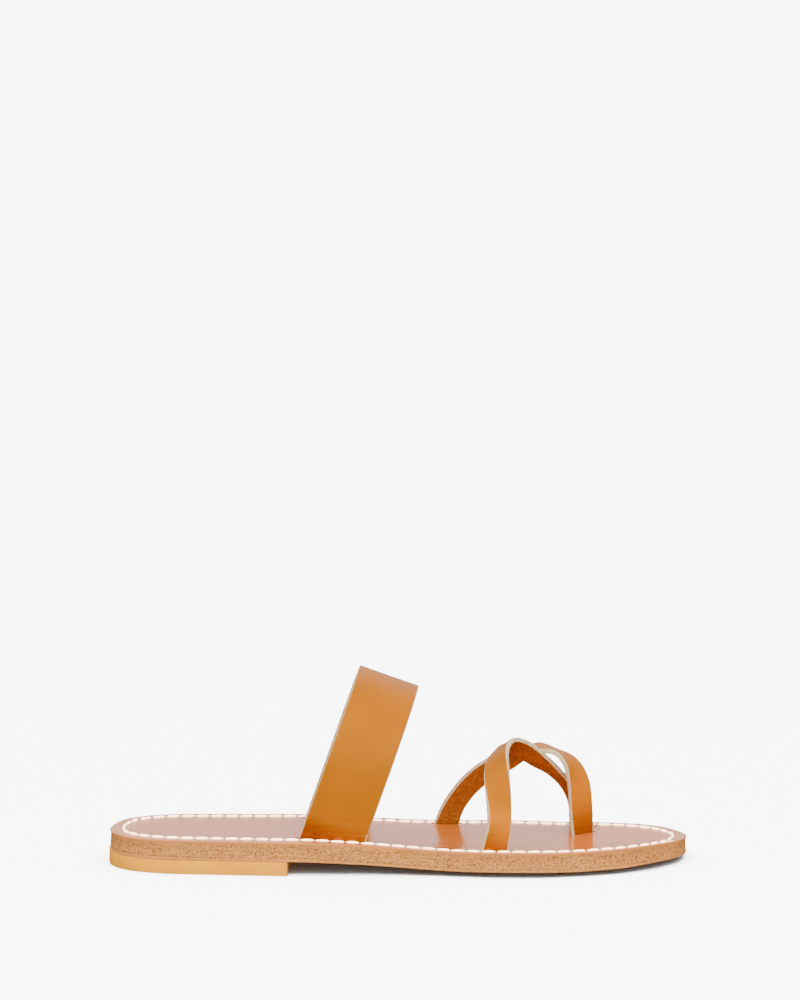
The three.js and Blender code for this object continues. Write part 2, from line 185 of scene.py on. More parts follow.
MEDIAL_TOE = table("ahead across rise face_x face_y face_z", [
    (0, 0, 0, -0.334, 0.943, 0.014), (0.046, 0.072, 0.177, -0.408, 0.873, 0.268),
    (0.147, 0.232, 0.399, -0.313, 0.843, 0.437), (0.27, 0.419, 0.576, -0.109, 0.842, 0.528),
    (0.425, 0.63, 0.723, 0.105, 0.763, 0.638), (0.566, 0.779, 0.84, 0.164, 0.369, 0.915),
    (0.653, 0.835, 0.886, 0.208, -0.138, 0.968), (0.809, 0.903, 0.845, 0.406, 0.002, 0.914),
    (0.908, 0.955, 0.74, 0.506, -0.39, 0.769), (0.969, 0.989, 0.543, 0.446, -0.762, 0.47),
    (0.989, 0.996, 0.277, 0.437, -0.882, 0.175), (1, 1, 0, 0.583, -0.809, -0.074),
])

INSTEP_FOOT = 0.386
LATERAL_TOE_FOOT = 0.6616
LATERAL_TOE_END = 0.824
MEDIAL_TOE_FOOT = 0.584
TOE_SLOT = 0.8204
TOE_SLOT_FROM_MEDIAL = 0.3


def column(rows, name, along):
    """Smooth values of a table's column at places along the sole, without overshoot."""
    xs, ys = rows["along"], rows[name]
    step = np.diff(xs)
    slope = np.diff(ys) / step
    before, after = slope[:-1], slope[1:]
    same_way = before * after > 0
    total = np.where(same_way, before + after, 1)
    inner = np.where(same_way, 2 * before * after / total, 0)
    tangent = np.concatenate([slope[:1], inner, slope[-1:]])
    i = np.clip(np.searchsorted(xs, along, side="right") - 1, 0, len(xs) - 2)
    t = np.clip((along - xs[i]) / step[i], 0, 1)
    return ((2 * t**3 - 3 * t**2 + 1) * ys[i] + (t**3 - 2 * t**2 + t) * step[i] * tangent[i]
            + (3 * t**2 - 2 * t**3) * ys[i + 1] + (t**3 - t**2) * step[i] * tangent[i + 1])


def edge_y(along, side):
    """Y of the lateral (side 0) or medial (side 1) outline, before the origin is centred."""
    if side == 0:
        return LATERAL_WIDTH * column(PLAN, "lateral", along)
    return MEDIAL_WIDTH * column(PLAN, "medial", along)


def top_height(along, y):
    """Height of the insole's top, with y as in edge_y."""
    seat = (SOLE_STACK + (HEEL_SEAT_HEIGHT - SOLE_STACK) * column(SEAT, "rise", along)
            + TOE_SPRING * column(SEAT, "spring", along))
    edge = np.minimum(edge_y(along, 0), CURL_START - 0.001)
    reach = np.clip((CURL_START - y) / (CURL_START - edge), 0, CURL_LIMIT)
    return seat + LATERAL_CURL * column(PLAN, "curl", along) * reach**2


def share_along(x):
    return np.clip(x / SOLE_LENGTH + 0.5, 0, 1)


def top_at(x, y):
    """Height of the insole's top at a place of the finished part."""
    return top_height(share_along(x), y + MIDDLE_Y)


def layer_scale(along):
    """How much of their thickness the layers keep near the tip of the toe."""
    share = np.clip((along - TOE_THINNING_FROM) / (1 - TOE_THINNING_FROM), 0, 1)
    return 1 - TOE_THINNING / SOLE_STACK * share


def wall_inset(depth):
    """How far the side wall lies inside the outline at a depth below the top."""
    down = np.clip(depth, 0, SOLE_STACK)
    from_top = np.maximum(0, 1 - down / TOP_EDGE_ROUND)
    from_bottom = np.maximum(0, 1 - (SOLE_STACK - down) / BOTTOM_EDGE_ROUND)
    return (SIDE_HOLLOW * np.sin(math.pi * down / SOLE_STACK)
            + TOP_EDGE_ROUND * (1 - np.sqrt(1 - from_top**2))
            + BOTTOM_EDGE_ROUND * (1 - np.sqrt(1 - from_bottom**2)))


def sole_point(along, across, inset, depth):
    """Points of the sole from shares along and across, an inset and a depth."""
    lateral, medial = edge_y(along, 0), edge_y(along, 1)
    shrink = 1 - inset / ((LATERAL_WIDTH + MEDIAL_WIDTH) / 2)
    middle = (lateral + medial) / 2
    y = middle + (lateral + (medial - lateral) * across - middle) * shrink
    x = (along - 0.5) * (SOLE_LENGTH - 2 * inset)
    z = top_height(along, y) - depth * layer_scale(along)
    return np.stack([x, y - MIDDLE_Y, z], axis=-1)


def even_stations(count, end=1.0):
    """Shares along the sole that are evenly spaced on its outline."""
    fine = np.linspace(0, end, FINE_STATIONS)
    run = 0
    for side in (0, 1):
        run = run + np.hypot(np.diff(fine) * SOLE_LENGTH, np.diff(edge_y(fine, side)))
    length = np.concatenate([[0], np.cumsum(run)])
    return np.interp(np.linspace(0, length[-1], count), length, fine)


def smooth_curve(points, t, power=0.5):
    """Points on a smooth curve through the given ones, at shares t of its segments."""
    path = np.vstack([2 * points[0] - points[1], points, 2 * points[-1] - points[-2]])
    place = np.clip(t, 0, 1) * (len(points) - 1)
    k = np.minimum(place.astype(int), len(points) - 2)
    s = (place - k)[:, None]
    a, b, c, d = path[k], path[k + 1], path[k + 2], path[k + 3]
    ab, bc, cd = [np.linalg.norm(q - p, axis=1)[:, None]**power
                  for p, q in ((a, b), (b, c), (c, d))]
    out = ((b - a) / ab - (c - a) / (ab + bc) + (c - b) / bc) * bc
    into = ((c - b) / bc - (d - b) / (bc + cd) + (d - c) / cd) * bc
    return b + out * s + (3 * (c - b) - 2 * out - into) * s**2 + (2 * (b - c) + out + into) * s**3


def unit(vectors):
    """The same directions with a length of 1."""
    return vectors / np.linalg.norm(vectors, axis=-1, keepdims=True)


def edge_foot(along, side):
    """Middle of a slot that stands just inside the outline."""
    y = edge_y(along, side) + (EDGE_TO_SLOT if side == 0 else -EDGE_TO_SLOT)
    return np.array([(along - 0.5) * SOLE_LENGTH, y - MIDDLE_Y, top_height(along, y)], float)


def toe_slot_foot():
    """Middle of the slot beside the big toe."""
    medial = edge_y(TOE_SLOT, 1) - EDGE_TO_SLOT
    lateral = edge_y(TOE_SLOT, 0) + EDGE_TO_SLOT
    y = medial + (lateral - medial) * TOE_SLOT_FROM_MEDIAL
    return np.array([(TOE_SLOT - 0.5) * SOLE_LENGTH, y - MIDDLE_Y, top_height(TOE_SLOT, y)], float)


def curve_way(places, t):
    """The way along a smooth curve at shares t of it."""
    small = 1e-4
    ahead = smooth_curve(places, np.clip(t + small, 0, 1))
    return unit(ahead - smooth_curve(places, np.clip(t - small, 0, 1)))


def strap_line(places, faces, steps):
    """Places on a strap's middle line, the way along it, across it and out of its grain."""
    t = np.linspace(0, 1, steps)
    place, way = smooth_curve(places, t), curve_way(places, t)
    face = smooth_curve(faces, t, power=0)
    face = unit(face - (face * way).sum(axis=1, keepdims=True) * way)
    place = np.vstack([place[0] - STRAP_TAIL * way[0], place, place[-1] + STRAP_TAIL * way[-1]])
    way, face = (np.vstack([part[:1], part, part[-1:]]) for part in (way, face))
    return place, way, np.cross(way, face), face


def instep_line(steps):
    """The wide strap, whose arch leans back towards the heel."""
    upward = np.array([math.sin(INSTEP_LEAN), 0, math.cos(INSTEP_LEAN)])
    width_way = np.array([math.cos(INSTEP_LEAN), 0, -math.sin(INSTEP_LEAN)])
    start, end = edge_foot(INSTEP_FOOT, 0), edge_foot(INSTEP_FOOT, 1)
    end[0] += INSTEP_MEDIAL_AHEAD
    across, rise = INSTEP["across"][:, None], INSTEP["rise"][:, None]
    places = start + (end - start) * across + upward * rise * INSTEP_ARCH_HEIGHT
    way = curve_way(places, np.linspace(0, 1, len(places)))
    return strap_line(places, unit(np.cross(width_way, way)), steps)


def toe_line(rows, start, end, steps):
    """A narrow strap between two slots, from a table of its places and faces."""
    places = np.stack([
        start[0] + (end[0] - start[0]) * rows["ahead"],
        start[1] + (end[1] - start[1]) * rows["across"],
        start[2] + (end[2] - start[2]) * rows["ahead"] + rows["rise"] * TOE_ARCH_HEIGHT,
    ], axis=1)
    faces = np.stack([rows["face_x"], rows["face_y"], rows["face_z"]], axis=1)
    return strap_line(places, faces, steps)


def lateral_toe_line(steps):
    return toe_line(LATERAL_TOE, edge_foot(LATERAL_TOE_FOOT, 0), edge_foot(LATERAL_TOE_END, 1),
                    steps)


def medial_toe_line(steps):
    return toe_line(MEDIAL_TOE, edge_foot(MEDIAL_TOE_FOOT, 1), toe_slot_foot(), steps)


# Sizes and colours that a user would change


def size_of(name, description, default):
    return bpy.props.FloatProperty(name=name, description=description, default=default,
                                   min=0, unit="LENGTH", subtype="DISTANCE", precision=5)


def linear(colour):
    """A colour of three numbers from 0 to 255, as a screen shows it, in linear light."""
    parts = [part / 255 for part in colour]
    return tuple(c / 12.92 if c <= 0.04045 else ((c + 0.055) / 1.055)**2.4 for c in parts)


def colour_of(name, description, default):
    return bpy.props.FloatVectorProperty(name=name, description=description, size=3, min=0,
                                         max=1, default=linear(default), subtype="COLOR")


class SandalSizes(bpy.types.PropertyGroup):
    """Sizes of the leather and the stitching"""

    strap_thickness: size_of("Strap thickness", "Thickness of the instep strap", 0.002)
    toe_strap_thickness: size_of("Toe strap thickness", "Thickness of both toe straps", 0.0021)
    instep_width: size_of("Instep strap width", "Width of the instep strap", 0.027)
    toe_strap_width: size_of("Toe strap width", "Width of both toe straps", 0.011)
    edge_round: size_of("Cut edge rounding", "Rounding of the straps' cut edges", 0.00038)
    stitch_inset: size_of("Stitch inset", "From the outline to the row of stitches", 0.0058)
    stitch_pitch: size_of("Stitch pitch", "Length of a stitch and its gap", 0.00645)
    stitch_length: size_of("Stitch length", "Thread that shows in a stitch", 0.0064)
    thread_width: size_of("Thread width", "Thickness of the thread", 0.0008)


class SandalColours(bpy.types.PropertyGroup):
    """Colours of the finishes"""

    grain: colour_of("Strap grain", "Smooth side of the straps", (172, 96, 0))
    suede: colour_of("Strap suede", "Napped side of the straps", (158, 92, 30))
    cut_edge: colour_of("Cut edge", "Raw edge of the straps", (226, 202, 158))
    insole: colour_of("Insole", "Glazed leather under the foot", (220, 116, 42))
    sole_edge: colour_of("Sole edge", "Trimmed side of the sole", (202, 134, 70))
    rubber: colour_of("Rubber", "Heel lift", (255, 165, 34))
    thread: colour_of("Thread", "Stitches round the insole", (250, 236, 216))
    floor: colour_of("Floor", "Paper under the shoe", (188, 188, 188))
    backdrop: colour_of("Backdrop", "Light behind the shoe", (246, 246, 246))


# Finishes: sizes here are in metres, and the other numbers are shares or strengths

LINES_PER_METRE = 1100
HOLE_RADIUS = 0.00045
HOLE_RIM = 0.0008
GROOVE = 0.0004
GROOVE_RIM = 0.0017
LIP_DEPTH = 0.0008
LIP_END = 0.002
PALE_DEPTH = 0.0071
PALE_END = 0.0076
SEAM = 0.00008
SEAM_RIM = 0.00022
# Where the painted shade on a stitch's ends begins and where it is full, as shares of the way from
# its middle to its tip.
TIP_SHADE_FROM = 0.88
TIP_SHADE_FULL = 0.97


class Amount:
    """A number that varies over a surface, for use in sums and products."""

    def __init__(self, finish, socket):
        self.finish, self.socket = finish, socket

    def math(self, operation, *values):
        return self.finish.node("ShaderNodeMath", {"operation": operation},
                                dict(enumerate(values)))

    def __add__(self, other):
        return self.math("ADD", self, other)

    __radd__ = __add__

    def __sub__(self, other):
        return self.math("SUBTRACT", self, other)

    def __rsub__(self, other):
        return self.math("SUBTRACT", other, self)

    def __mul__(self, other):
        return self.math("MULTIPLY", self, other)

    __rmul__ = __mul__

    def __pow__(self, other):
        return self.math("POWER", self, other)

    def __abs__(self):
        return self.math("ABSOLUTE", self)

    def clamp(self):
        """Keeps the number from 0 to 1."""
        self.socket.node.use_clamp = True
        return self


class Finish:
    """A material with one principled shader, and the nodes that feed it."""

    def __init__(self, name, **constants):
        self.material = bpy.data.materials.new(name)
        self.material.use_nodes = True
        self.tree = self.material.node_tree
        self.shader = self.tree.nodes["Principled BSDF"]
        for key, value in constants.items():
            self.shader.inputs[key.replace("_", " ")].default_value = value
        self.place = self.node("ShaderNodeTexCoord", output="Object")

    def node(self, kind, settings=None, inputs=None, output=0):
        """A node with its settings, then its inputs, and the output that is used."""
        made = self.tree.nodes.new(kind)
        for key, value in (settings or {}).items():
            setattr(made, key, value)
        for key, value in (inputs or {}).items():
            self.feed(made.inputs[key], value)
        return Amount(self, made.outputs[output])

    def feed(self, socket, value):
        """Links an amount to a socket, or sets a constant on it."""
        if isinstance(value, Amount):
            self.tree.links.new(value.socket, socket)
        elif socket.type == "RGBA" and len(value) == 3:
            socket.default_value = (*value, 1)
        else:
            socket.default_value = value

    def shade(self, name, value):
        self.feed(self.shader.inputs[name], value)

    def noise(self, size, detail, rough=0.5, where=None):
        """Noise about 0.5 whose spots are about a size in metres."""
        return self.node("ShaderNodeTexNoise", {}, {
            "Vector": where or self.place, "Scale": 1 / size, "Detail": detail,
            "Roughness": rough})

    def step(self, value, low, high):
        """0 below low, 1 above high, and smooth between them."""
        return self.node("ShaderNodeMapRange", {"interpolation_type": "SMOOTHSTEP"},
                         {"Value": value, "From Min": low, "From Max": high})

    def mix(self, factor, first, second):
        return self.node("ShaderNodeMix", {"data_type": "RGBA"},
                         {0: factor, 6: first, 7: second}, 2)

    def mottle(self, value, colour, dark, light, low=0.3, high=0.7):
        """A colour times dark where a value is low, and times light where it is high."""
        return self.mix(self.step(value, low, high), tint(colour, dark), tint(colour, light))

    def attribute(self, name):
        return self.node("ShaderNodeAttribute", {"attribute_name": name}, output="Fac")

    def bump(self, height, distance, strength):
        inputs = {"Height": height, "Distance": distance, "Strength": strength}
        self.shade("Normal", self.node("ShaderNodeBump", {}, inputs))


def tint(colour, factor):
    """A colour made lighter or darker."""
    return tuple(min(1, part * factor) for part in colour)


def filtered(colour, shares):
    """A colour of which a share of the red, the green and the blue is left."""
    return tuple(part * share for part, share in zip(colour, shares))


def strap_grain(colour):
    """Smooth dyed leather with a soft polish. Near its feet painted shade darkens it, fine crease
    lines carry painted shade, and a painted highlight lightens the bend above.
    """
    finish = Finish("strap_grain", IOR=1.3, Specular_Tint=(1, 0.5, 0.12, 1))
    foot = finish.attribute("foot")
    cloud = finish.noise(0.018, 3)
    pores = finish.noise(0.0006, 2, 0.6)
    lines = finish.node("ShaderNodeTexNoise", {"noise_dimensions": "1D"},
                        {"W": foot * LINES_PER_METRE, "Scale": 1, "Detail": 2})
    tone = finish.mottle(cloud, colour, 0.95, 1.05)
    fade = finish.attribute("fade")
    # deep is the colour of the painted shade, used at the feet and in the crease lines.
    deep = filtered(colour, (0.5, 0.34, 0.1))
    # Fine crease lines near the feet, darkened with painted shade and pressed in by the bump.
    shaded_crease_lines = (1 - finish.step(foot, 0.003, 0.009)) * finish.step(lines, 0.5, 0.72)
    # Painted shade towards the slots, then a painted highlight on the bend above them.
    tone = finish.mix(((1 - fade) * 2).clamp(), tone, deep)
    tone = finish.mix((fade - 1).clamp(), tone, tint(colour, 2.0))
    finish.shade("Base Color", finish.mix(shaded_crease_lines * 0.3, tone, tint(deep, 0.9)))
    finish.shade("Roughness", 0.4 + 0.12 * (cloud - 0.5) + 0.1 * (pores - 0.5))
    finish.bump(pores + 2.5 * finish.noise(0.004, 2) - 4 * shaded_crease_lines, 0.00004, 0.5)
    return finish.material


def strap_suede(colour):
    """Napped underside with short fibres."""
    finish = Finish("strap_suede", Roughness=0.95, IOR=1.2, Specular_Tint=(1, 0.6, 0.3, 1))
    fibres = finish.noise(0.0007, 3, 0.75)
    patches = finish.noise(0.004, 3)
    nap = 0.8 * fibres + 0.2 * patches
    finish.shade("Base Color", finish.mottle(nap, colour, 0.5, 1.42, 0.36, 0.64))
    finish.bump(fibres, 0.0006, 0.9)
    return finish.material


def strap_cut(colour):
    """Raw edge of the strap, pale and fibrous."""
    finish = Finish("strap_cut_edge", Roughness=0.95, IOR=1.2)
    fibres = finish.noise(0.0007, 4, 0.75)
    finish.shade("Base Color", finish.mottle(fibres, colour, 0.62, 1.15, 0.36, 0.64))
    finish.bump(fibres, 0.0005, 1.0)
    return finish.material


def insole_glaze(colour, sizes):
    """Glazed leather of the insole, pulled in along the row of stitches, with painted shade in
    that groove and near-black painted shade in each stitch hole.
    """
    finish = Finish("insole_glaze", IOR=1.5, Coat_Roughness=0.12)
    run = finish.node("ShaderNodeUVMap", {"uv_map": "stitch_run"})
    along = finish.node("ShaderNodeSeparateXYZ", {}, {0: run})
    off = finish.node("ShaderNodeSeparateXYZ", {}, {0: run}, "Y")
    to_hole = along.math("PINGPONG", along, 0.5) * sizes.stitch_pitch
    reach = (to_hole * to_hole + off * off) ** 0.5
    hole = 1 - finish.step(reach, HOLE_RADIUS, HOLE_RIM)
    stitch_groove = 1 - finish.step(abs(off), GROOVE, GROOVE_RIM)
    cloud = finish.noise(0.03, 3)
    pores = finish.noise(0.0008, 2, 0.6)
    tone = finish.mottle(cloud, colour, 0.94, 1.05)
    # Painted shade in the groove along the stitches, then near-black painted shade in each hole.
    tone = finish.mix(stitch_groove * 0.35, tone, tint(colour, 0.7))
    finish.shade("Base Color", finish.mix(hole, tone, tint(colour, 0.05)))
    finish.shade("Roughness", (0.2 + 0.08 * (cloud - 0.5) + 0.5 * hole).clamp())
    finish.shade("Coat Weight", 0.4 * (1 - hole))
    height = pores * 0.06 + finish.noise(0.009, 2) * 0.5 - stitch_groove * 0.5 - hole * 2.5
    finish.bump(height, 0.0002, 0.7)
    return finish.material


def sole_side(colour):
    """Trimmed edge of the stacked leathers: a burnished lip, then a fine crumb of fibres."""
    finish = Finish("sole_side", IOR=1.25, Specular_Tint=(1, 0.8, 0.6, 1))
    depth = finish.attribute("depth")
    drawn_out = finish.node("ShaderNodeMapping", {}, {
        "Vector": finish.place, "Scale": (0.05, 0.05, 1)})
    lines = finish.noise(0.0005, 3, 0.6, drawn_out)
    crumb = finish.noise(0.0008, 3, 0.85)
    flecks = finish.noise(0.0016, 3, 0.8)
    patches = finish.noise(0.02, 3)
    lip = 1 - finish.step(depth, LIP_DEPTH, LIP_END)
    texture = lines * 0.2 + crumb * 0.8
    base = finish.mottle(texture, colour, 0.46, 1.5, 0.41, 0.59)
    rust = filtered(colour, (0.8, 0.5, 0.3))
    base = finish.mix(finish.step(flecks, 0.56, 0.7) * 0.55, base, rust)
    base = finish.mix(finish.step(patches, 0.42, 0.68) * 0.3, base, tint(colour, 0.8))
    base = finish.mix(lip * 0.8, base, filtered(colour, (1.0, 0.82, 0.7)))
    seam = 1 - finish.step(abs(depth - MIDSOLE_DEPTH * MM), SEAM, SEAM_RIM)
    base = finish.mix(seam * 0.2, base, tint(colour, 0.6))
    pale = finish.step(depth, PALE_DEPTH, PALE_END)
    finish.shade("Base Color", finish.mix(pale * 0.4, base, tint(colour, 1.15)))
    finish.shade("Roughness", 0.9 - 0.35 * lip - 0.1 * pale)
    finish.bump(texture * (1 - 0.7 * lip) - seam * 0.8, 0.0004, 0.8)
    return finish.material


def sole_bottom(colour):
    """Plain leather under the sole."""
    finish = Finish("sole_bottom", IOR=1.45, Roughness=0.7)
    cloud = finish.noise(0.02, 4, 0.6)
    finish.shade("Base Color", finish.mottle(cloud, colour, 0.72, 0.9))
    finish.bump(finish.noise(0.0008, 3, 0.6), 0.0001, 0.6)
    return finish.material


def lift_rubber(colour):
    """Amber rubber, cut smooth and slightly cloudy."""
    finish = Finish("lift_rubber", IOR=1.2, Subsurface_Weight=0.1, Subsurface_Scale=0.002)
    cloud = finish.noise(0.014, 3)
    finish.shade("Base Color", finish.mottle(cloud, colour, 0.95, 1.05))
    finish.shade("Roughness", 0.5 + 0.12 * (cloud - 0.5))
    finish.bump(finish.noise(0.0012, 2), 0.00008, 0.5)
    return finish.material


def waxed_thread(colour):
    """White thread with a twist, kept white by painted light: it glows a little on its own. Its
    ends dip into the holes, where painted shade darkens them near black and stops the glow."""
    finish = Finish("waxed_thread", Roughness=0.6, IOR=1.45, Emission_Strength=7.0)
    twist = finish.noise(0.0005, 2)
    # Painted shade on the ends of the stitch, where it dips into its holes.
    tip_shade = finish.step(finish.attribute("tip"), TIP_SHADE_FROM, TIP_SHADE_FULL)
    tone = finish.mix(twist, tint(colour, 0.85), tint(colour, 1.04))
    finish.shade("Base Color", finish.mix(tip_shade, tone, tint(colour, 0.06)))
    # The glow is painted light, in a warmer tint of the thread's colour.
    thread_glow_colour = filtered(colour, (1.0, 0.78, 0.52))
    finish.shade("Emission Color", finish.mix(tip_shade, thread_glow_colour, (0, 0, 0)))
    finish.bump(twist, 0.0002, 0.6)
    return finish.material


def floor_paper(colour):
    """Matt pale paper."""
    finish = Finish("floor_paper", Roughness=0.9, IOR=1.2)
    finish.shade("Base Color", colour)
    return finish.material


def backdrop_glow(colour):
    """A backdrop as bright as the lit floor."""
    finish = Finish("backdrop_glow", Roughness=1.0, Emission_Strength=8.8)
    finish.shade("Base Color", (0, 0, 0))
    finish.shade("Emission Color", colour)
    return finish.material


# Modelling


def deselect():
    bpy.ops.object.select_all(action="DESELECT")


def only(piece):
    """Leaves one object selected and active."""
    deselect()
    piece.select_set(True)
    bpy.context.view_layer.objects.active = piece


def named(name):
    """Names the object that was just added."""
    piece = bpy.context.object
    piece.name = piece.data.name = name
    return piece


def numbers(items, name, kind=int, size=1):
    """A property of every item of a mesh, as one array."""
    found = np.empty(len(items) * size, kind)
    items.foreach_get(name, found)
    return found


def coordinates(piece):
    return numbers(piece.data.vertices, "co", float, 3).reshape(-1, 3)


def set_coordinates(piece, points):
    piece.data.vertices.foreach_set("co", np.ascontiguousarray(points).ravel())
    piece.data.update()


def store(piece, name, values):
    """Keeps a number on each point of a piece, for its finish to read."""
    stored = piece.data.attributes.new(name, "FLOAT", "POINT")
    stored.data.foreach_set("value", values.astype(np.float32))


def shaped_grid(name, along_steps, across_steps, points):
    """A grid whose corners are moved to an array of points in millimetres."""
    deselect()
    bpy.ops.mesh.primitive_grid_add(x_subdivisions=along_steps, y_subdivisions=across_steps,
                                    size=2)
    piece = named(name)
    corners = coordinates(piece)
    i = np.rint((corners[:, 0] + 1) / 2 * along_steps).astype(int)
    k = np.rint((corners[:, 1] + 1) / 2 * across_steps).astype(int)
    set_coordinates(piece, points[i, k] * MM)
    return piece


def edit(piece):
    """Opens a piece in edit mode with all of it selected."""
    only(piece)
    bpy.ops.object.mode_set(mode="EDIT")
    bpy.ops.mesh.select_all(action="SELECT")


def leave_edit():
    """Turns the faces of a closed piece outwards and leaves edit mode."""
    bpy.ops.mesh.select_all(action="SELECT")
    bpy.ops.mesh.normals_make_consistent(inside=False)
    bpy.ops.object.mode_set(mode="OBJECT")


def apply_modifier(piece, name, kind, **settings):
    only(piece)
    modifier = piece.modifiers.new(name, kind)
    for key, value in settings.items():
        setattr(modifier, key, value)
    bpy.ops.object.modifier_apply(modifier=name)


def smooth(piece, degrees):
    only(piece)
    bpy.ops.object.shade_smooth_by_angle(angle=math.radians(degrees))


def finish_piece(piece, materials, nodes=()):
    """Gives a piece its finishes and ties it to the frame."""
    for material in materials:
        piece.data.materials.append(material)
    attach(piece, "root")
    if nodes:
        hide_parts(*nodes)


def run_along(points):
    """How far along a path each of its points is."""
    return np.concatenate([[0], np.cumsum(np.linalg.norm(np.diff(points, axis=0), axis=1))])


def read_rows(places, known, rows):
    """Rows of numbers at places between the known ones."""
    return np.stack([np.interp(places, known, part) for part in rows.T], axis=-1)


def tree_of(points):
    """A search tree that finds the nearest of many points."""
    tree = KDTree(len(points))
    for i, point in enumerate(points):
        tree.insert(point, i)
    tree.balance()
    return tree


def sole_layer(name, depths):
    """One layer of the sole as a wrapped grid: its top, its wall, its underside."""
    shares = np.linspace(0, 1, SOLE_COLUMNS)
    top, bottom = depths[0], depths[-1]
    section = [(share, top) for share in shares]
    section += [(1, depth) for depth in depths[1:-1]]
    section += [(share, bottom) for share in shares[::-1]]
    section += [(0, depth) for depth in depths[-2:0:-1]] + section[:1]
    along = even_stations(SOLE_STATIONS)
    points = np.stack([
        sole_point(along, np.full_like(along, across), wall_inset(depth), depth)
        for across, depth in section], axis=1)
    piece = shaped_grid(name, SOLE_STATIONS - 1, len(section) - 1, points)
    edit(piece)
    bpy.ops.mesh.remove_doubles(threshold=1e-6)
    bpy.ops.mesh.select_all(action="SELECT")
    bpy.ops.mesh.fill_holes(sides=0)
    leave_edit()
    return piece


def mark_depth(piece):
    """Stores how deep each point lies below the insole's top, in metres."""
    x, y, z = (coordinates(piece) / MM).T
    depth = (top_at(x, y) - z) / layer_scale(share_along(x))
    store(piece, "depth", depth * MM)
    return depth


def stitch_path(inset):
    """A closed row of places inside the outline, and how far along it each one is."""
    along = even_stations(ROW_STATIONS)
    lateral = sole_point(along, 0.0, 0.0, 0.0)
    medial = sole_point(along, 1.0, 0.0, 0.0)
    outline = np.vstack([lateral, medial[::-1]])[:, :2]
    way = unit(np.roll(outline, -3, axis=0) - np.roll(outline, 3, axis=0))
    row = outline + inset * np.stack([-way[:, 1], way[:, 0]], axis=1)
    for _ in range(ROW_SMOOTHINGS):
        row = (np.roll(row, 1, axis=0) + 2 * row + np.roll(row, -1, axis=0)) / 4
    closed = np.vstack([row, row[:1]])
    return closed, run_along(closed)


def stitch_count(sizes, length):
    return round(length[-1] * MM / sizes.stitch_pitch)


def mark_stitch_run(piece, sizes):
    """Stores on each corner its place along the row, in stitches, and its distance from it."""
    closed, length = stitch_path(sizes.stitch_inset / MM)
    count = stitch_count(sizes, length)
    tree = tree_of(np.pad(closed[:-1], ((0, 0), (0, 1))))
    flat = coordinates(piece) / MM * (1, 1, 0)
    found = [tree.find(point) for point in flat]
    run = length[[index for _, index, _ in found]] / length[-1] * count
    off = np.array([distance for _, _, distance in found]) * MM
    mesh = piece.data
    corners = numbers(mesh.loops, "vertex_index")
    starts = numbers(mesh.polygons, "loop_start")
    totals = numbers(mesh.polygons, "loop_total")
    first = np.repeat(run[corners[starts]], totals)
    corner_run = run[corners]
    corner_run = corner_run + count * np.rint((first - corner_run) / count)
    layer = mesh.uv_layers.new(name="stitch_run")
    values = np.stack([corner_run, off[corners]], axis=1).astype(np.float32)
    layer.data.foreach_set("uv", values.ravel())


# Painted light near each foot of a strap: deep is the share of painted shade at its slot, fading
# out over reach, and glow a painted highlight on the bend at glow_at, glow_width wide. Shares of
# the colour, and heights over the insole in millimetres.
FootPaintedLight = namedtuple("FootPaintedLight", "deep reach glow glow_at glow_width")
INSTEP_LATERAL_PAINTED_LIGHT = FootPaintedLight(deep=0.55, reach=11, glow=0.14, glow_at=18, glow_width=14)
TOE_LATERAL_PAINTED_LIGHT = FootPaintedLight(deep=0.45, reach=8, glow=0.45, glow_at=13.5, glow_width=5)
TOE_SLOT_PAINTED_LIGHT = FootPaintedLight(deep=0.46, reach=18, glow=0.12, glow_at=22, glow_width=6)
HIDDEN_FOOT_PAINTED_SHADE = FootPaintedLight(deep=0.3, reach=9, glow=0, glow_at=0, glow_width=1)

# Troughs (positive depth) and ridges (negative depth) across a strap near its slots, in
# millimetres from the insole: the middle's share across the strap and the reach of each.
CREASES = table("up depth half middle reach", [
    (2.1, 0.16, 0.5, 0.35, 0.5), (3.3, -0.08, 0.6, 0.6, 0.6), (4.6, 0.2, 0.6, 0.7, 0.45),
    (6.4, 0.12, 0.7, 0.2, 0.4), (8.3, -0.06, 1.0, 0.5, 0.7), (10.4, 0.08, 0.9, 0.8, 0.35),
])


def foot_painted_light(tone, up):
    """Painted light at a height over a slot: 1 is the leather's own colour, less is painted shade
    and more is painted highlight.
    """
    rise = np.clip(up / tone.reach, 0, 1)
    deep = tone.deep * (1 - rise * rise * (3 - 2 * rise))
    return 1 - deep + tone.glow * np.exp(-((up - tone.glow_at) / tone.glow_width)**2)


def crease_depth(up, share):
    """How far the creases press a strap in, at a height over its slot and a share across."""
    total = 0
    for height, depth, half, middle, reach in zip(*CREASES.values()):
        bow = height + CREASE_BOW * (share - middle)**2
        total = total + (depth * np.exp(-((up - bow) / half)**2)
                         * math.exp(-((share - middle) / reach)**2))
    return total


